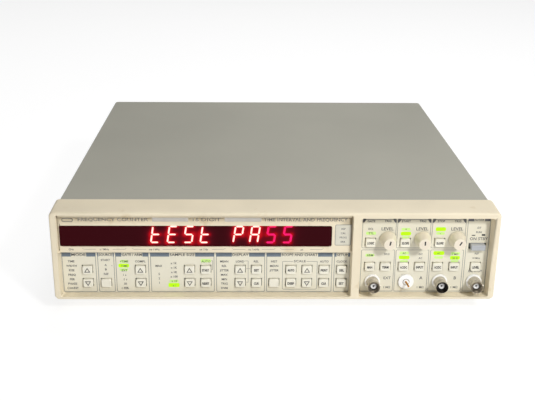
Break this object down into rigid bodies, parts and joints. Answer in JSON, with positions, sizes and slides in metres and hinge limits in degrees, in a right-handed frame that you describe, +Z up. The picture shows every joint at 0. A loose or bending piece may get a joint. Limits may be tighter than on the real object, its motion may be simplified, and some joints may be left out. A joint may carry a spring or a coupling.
{
  "type": "frequency counter",
  "caption": "Half-height bench frequency counter: keyed front panel, red numeral window, coaxial inputs with level knobs, covered case on feet.",
  "frame": {"origin": "middle of the footprint, on the surface that the feet stand on", "axes": "+Z up; the front panel faces -Y; +X is to the right of someone facing the front"},
  "size_m": [0.3556, 0.369, 0.0889],
  "materials": {
    "bezel": "warm ivory satin moulding with a fine texture",
    "panel": "grey-ivory printed overlay on sheet metal",
    "window": "dark red filter",
    "cover": "warm grey fine-texture paint",
    "chassis_metal": "plain sheet",
    "rear_metal": "light grey paint",
    "connector_metal": "nickel plated shells",
    "circuit_board": "green solder mask",
    "transformer_core": "varnished laminations",
    "black_plastic": "black moulded",
    "nickel": "nickel plate",
    "insulator": "white moulded",
    "foot_rubber": "matt black",
    "key": "ivory satin",
    "knob": "ivory satin",
    "power_button": "blue-grey satin",
    "indicator_lit": "lit yellow-green light bar",
    "numeral_lit": "lit red numeral segment",
    "legend_ink": "dark grey printed ink"
  },
  "bodies": {
    "case": {"front_bezel": "bezel", "control_panel": "panel", "input_panel": "panel", "display_window": "window", "display_board": "circuit_board", "input_board": "circuit_board", "chassis_frame": "chassis_metal", "top_cover": "cover", "bottom_cover": "cover", "rear_panel": "rear_metal", "rear_connector_board": "connector_metal", "main_board": "circuit_board", "mains_transformer": "transformer_core", "power_inlet": "black_plastic", "fan_frame": "black_plastic", "socket_ext": "nickel", "socket_a": "insulator", "socket_b": "nickel", "socket_ref": "nickel", "foot_front_left": "foot_rubber", "foot_front_right": "foot_rubber", "foot_rear_left": "foot_rubber", "foot_rear_right": "foot_rubber"},
    "power_button": {"power_button": "power_button"},
    "level_knob_ext": {"level_knob_ext": "knob"},
    "level_knob_a": {"level_knob_a": "knob"},
    "level_knob_b": {"level_knob_b": "knob"},
    "fan_impeller": {"fan_impeller": "black_plastic"},
    "key_mode_up": {"key_mode_up": "key"},
    "key_mode_down": {"key_mode_down": "key"},
    "key_source": {"key_source": "key"},
    "key_gate_up": {"key_gate_up": "key"},
    "key_gate_down": {"key_gate_down": "key"},
    "key_sample_size_up": {"key_sample_size_up": "key"},
    "key_sample_size_down": {"key_sample_size_down": "key"},
    "key_start": {"key_start": "key"},
    "key_reset": {"key_reset": "key"},
    "key_display_up": {"key_display_up": "key"},
    "key_display_down": {"key_display_down": "key"},
    "key_reference_set": {"key_reference_set": "key"},
    "key_reference_clear": {"key_reference_clear": "key"},
    "key_chart_select": {"key_chart_select": "key"},
    "key_scale_auto": {"key_scale_auto": "key"},
    "key_scale_show": {"key_scale_show": "key"},
    "key_scale_up": {"key_scale_up": "key"},
    "key_scale_down": {"key_scale_down": "key"},
    "key_print": {"key_print": "key"},
    "key_print_clear": {"key_print_clear": "key"},
    "key_setup_select": {"key_setup_select": "key"},
    "key_setup_set": {"key_setup_set": "key"},
    "key_logic": {"key_logic": "key"},
    "key_a_slope": {"key_a_slope": "key"},
    "key_b_slope": {"key_b_slope": "key"},
    "key_manual": {"key_manual": "key"},
    "key_ext_termination": {"key_ext_termination": "key"},
    "key_a_coupling": {"key_a_coupling": "key"},
    "key_a_input": {"key_a_input": "key"},
    "key_b_coupling": {"key_b_coupling": "key"},
    "key_b_input": {"key_b_input": "key"},
    "key_reference_level": {"key_reference_level": "key"}
  },
  "joints": [
    {"name": "power_button_push", "type": "slide", "parent": "case", "child": "power_button", "axis": [0, -1, 0], "range_m": [0, 0.0035]},
    {"name": "level_knob_ext_turn", "type": "hinge", "parent": "case", "child": "level_knob_ext", "pos_m": [0.09, -0.1803, 0.0627], "axis": [0, 1, 0], "range_deg": [-162, 138]},
    {"name": "level_knob_a_turn", "type": "hinge", "parent": "case", "child": "level_knob_a", "pos_m": [0.1178, -0.1803, 0.0627], "axis": [0, 1, 0], "range_deg": [-150, 150]},
    {"name": "level_knob_b_turn", "type": "hinge", "parent": "case", "child": "level_knob_b", "pos_m": [0.1455, -0.1803, 0.0627], "axis": [0, 1, 0], "range_deg": [-180, 120]},
    {"name": "fan_spin", "type": "hinge", "parent": "case", "child": "fan_impeller", "pos_m": [0.084, 0.1617, 0.0512], "axis": [0, 1, 0], "continuous": true},
    {"name": "key_mode_up_press", "type": "slide", "parent": "case", "child": "key_mode_up", "axis": [0, 1, 0], "range_m": [0, 0.0012], "stiffness_N_per_m": 400, "springref_m": -0.001},
    {"name": "key_mode_down_press", "type": "slide", "parent": "case", "child": "key_mode_down", "axis": [0, 1, 0], "range_m": [0, 0.0012], "stiffness_N_per_m": 400, "springref_m": -0.001},
    {"name": "key_source_press", "type": "slide", "parent": "case", "child": "key_source", "axis": [0, 1, 0], "range_m": [0, 0.0012], "stiffness_N_per_m": 400, "springref_m": -0.001},
    {"name": "key_gate_up_press", "type": "slide", "parent": "case", "child": "key_gate_up", "axis": [0, 1, 0], "range_m": [0, 0.0012], "stiffness_N_per_m": 400, "springref_m": -0.001},
    {"name": "key_gate_down_press", "type": "slide", "parent": "case", "child": "key_gate_down", "axis": [0, 1, 0], "range_m": [0, 0.0012], "stiffness_N_per_m": 400, "springref_m": -0.001},
    {"name": "key_sample_size_up_press", "type": "slide", "parent": "case", "child": "key_sample_size_up", "axis": [0, 1, 0], "range_m": [0, 0.0012], "stiffness_N_per_m": 400, "springref_m": -0.001},
    {"name": "key_sample_size_down_press", "type": "slide", "parent": "case", "child": "key_sample_size_down", "axis": [0, 1, 0], "range_m": [0, 0.0012], "stiffness_N_per_m": 400, "springref_m": -0.001},
    {"name": "key_start_press", "type": "slide", "parent": "case", "child": "key_start", "axis": [0, 1, 0], "range_m": [0, 0.0012], "stiffness_N_per_m": 400, "springref_m": -0.001},
    {"name": "key_reset_press", "type": "slide", "parent": "case", "child": "key_reset", "axis": [0, 1, 0], "range_m": [0, 0.0012], "stiffness_N_per_m": 400, "springref_m": -0.001},
    {"name": "key_display_up_press", "type": "slide", "parent": "case", "child": "key_display_up", "axis": [0, 1, 0], "range_m": [0, 0.0012], "stiffness_N_per_m": 400, "springref_m": -0.001},
    {"name": "key_display_down_press", "type": "slide", "parent": "case", "child": "key_display_down", "axis": [0, 1, 0], "range_m": [0, 0.0012], "stiffness_N_per_m": 400, "springref_m": -0.001},
    {"name": "key_reference_set_press", "type": "slide", "parent": "case", "child": "key_reference_set", "axis": [0, 1, 0], "range_m": [0, 0.0012], "stiffness_N_per_m": 400, "springref_m": -0.001},
    {"name": "key_reference_clear_press", "type": "slide", "parent": "case", "child": "key_reference_clear", "axis": [0, 1, 0], "range_m": [0, 0.0012], "stiffness_N_per_m": 400, "springref_m": -0.001},
    {"name": "key_chart_select_press", "type": "slide", "parent": "case", "child": "key_chart_select", "axis": [0, 1, 0], "range_m": [0, 0.0012], "stiffness_N_per_m": 400, "springref_m": -0.001},
    {"name": "key_scale_auto_press", "type": "slide", "parent": "case", "child": "key_scale_auto", "axis": [0, 1, 0], "range_m": [0, 0.0012], "stiffness_N_per_m": 400, "springref_m": -0.001},
    {"name": "key_scale_show_press", "type": "slide", "parent": "case", "child": "key_scale_show", "axis": [0, 1, 0], "range_m": [0, 0.0012], "stiffness_N_per_m": 400, "springref_m": -0.001},
    {"name": "key_scale_up_press", "type": "slide", "parent": "case", "child": "key_scale_up", "axis": [0, 1, 0], "range_m": [0, 0.0012], "stiffness_N_per_m": 400, "springref_m": -0.001},
    {"name": "key_scale_down_press", "type": "slide", "parent": "case", "child": "key_scale_down", "axis": [0, 1, 0], "range_m": [0, 0.0012], "stiffness_N_per_m": 400, "springref_m": -0.001},
    {"name": "key_print_press", "type": "slide", "parent": "case", "child": "key_print", "axis": [0, 1, 0], "range_m": [0, 0.0012], "stiffness_N_per_m": 400, "springref_m": -0.001},
    {"name": "key_print_clear_press", "type": "slide", "parent": "case", "child": "key_print_clear", "axis": [0, 1, 0], "range_m": [0, 0.0012], "stiffness_N_per_m": 400, "springref_m": -0.001},
    {"name": "key_setup_select_press", "type": "slide", "parent": "case", "child": "key_setup_select", "axis": [0, 1, 0], "range_m": [0, 0.0012], "stiffness_N_per_m": 400, "springref_m": -0.001},
    {"name": "key_setup_set_press", "type": "slide", "parent": "case", "child": "key_setup_set", "axis": [0, 1, 0], "range_m": [0, 0.0012], "stiffness_N_per_m": 400, "springref_m": -0.001},
    {"name": "key_logic_press", "type": "slide", "parent": "case", "child": "key_logic", "axis": [0, 1, 0], "range_m": [0, 0.0012], "stiffness_N_per_m": 400, "springref_m": -0.001},
    {"name": "key_a_slope_press", "type": "slide", "parent": "case", "child": "key_a_slope", "axis": [0, 1, 0], "range_m": [0, 0.0012], "stiffness_N_per_m": 400, "springref_m": -0.001},
    {"name": "key_b_slope_press", "type": "slide", "parent": "case", "child": "key_b_slope", "axis": [0, 1, 0], "range_m": [0, 0.0012], "stiffness_N_per_m": 400, "springref_m": -0.001},
    {"name": "key_manual_press", "type": "slide", "parent": "case", "child": "key_manual", "axis": [0, 1, 0], "range_m": [0, 0.0012], "stiffness_N_per_m": 400, "springref_m": -0.001},
    {"name": "key_ext_termination_press", "type": "slide", "parent": "case", "child": "key_ext_termination", "axis": [0, 1, 0], "range_m": [0, 0.0012], "stiffness_N_per_m": 400, "springref_m": -0.001},
    {"name": "key_a_coupling_press", "type": "slide", "parent": "case", "child": "key_a_coupling", "axis": [0, 1, 0], "range_m": [0, 0.0012], "stiffness_N_per_m": 400, "springref_m": -0.001},
    {"name": "key_a_input_press", "type": "slide", "parent": "case", "child": "key_a_input", "axis": [0, 1, 0], "range_m": [0, 0.0012], "stiffness_N_per_m": 400, "springref_m": -0.001},
    {"name": "key_b_coupling_press", "type": "slide", "parent": "case", "child": "key_b_coupling", "axis": [0, 1, 0], "range_m": [0, 0.0012], "stiffness_N_per_m": 400, "springref_m": -0.001},
    {"name": "key_b_input_press", "type": "slide", "parent": "case", "child": "key_b_input", "axis": [0, 1, 0], "range_m": [0, 0.0012], "stiffness_N_per_m": 400, "springref_m": -0.001},
    {"name": "key_reference_level_press", "type": "slide", "parent": "case", "child": "key_reference_level", "axis": [0, 1, 0], "range_m": [0, 0.0012], "stiffness_N_per_m": 400, "springref_m": -0.001}
  ]
}
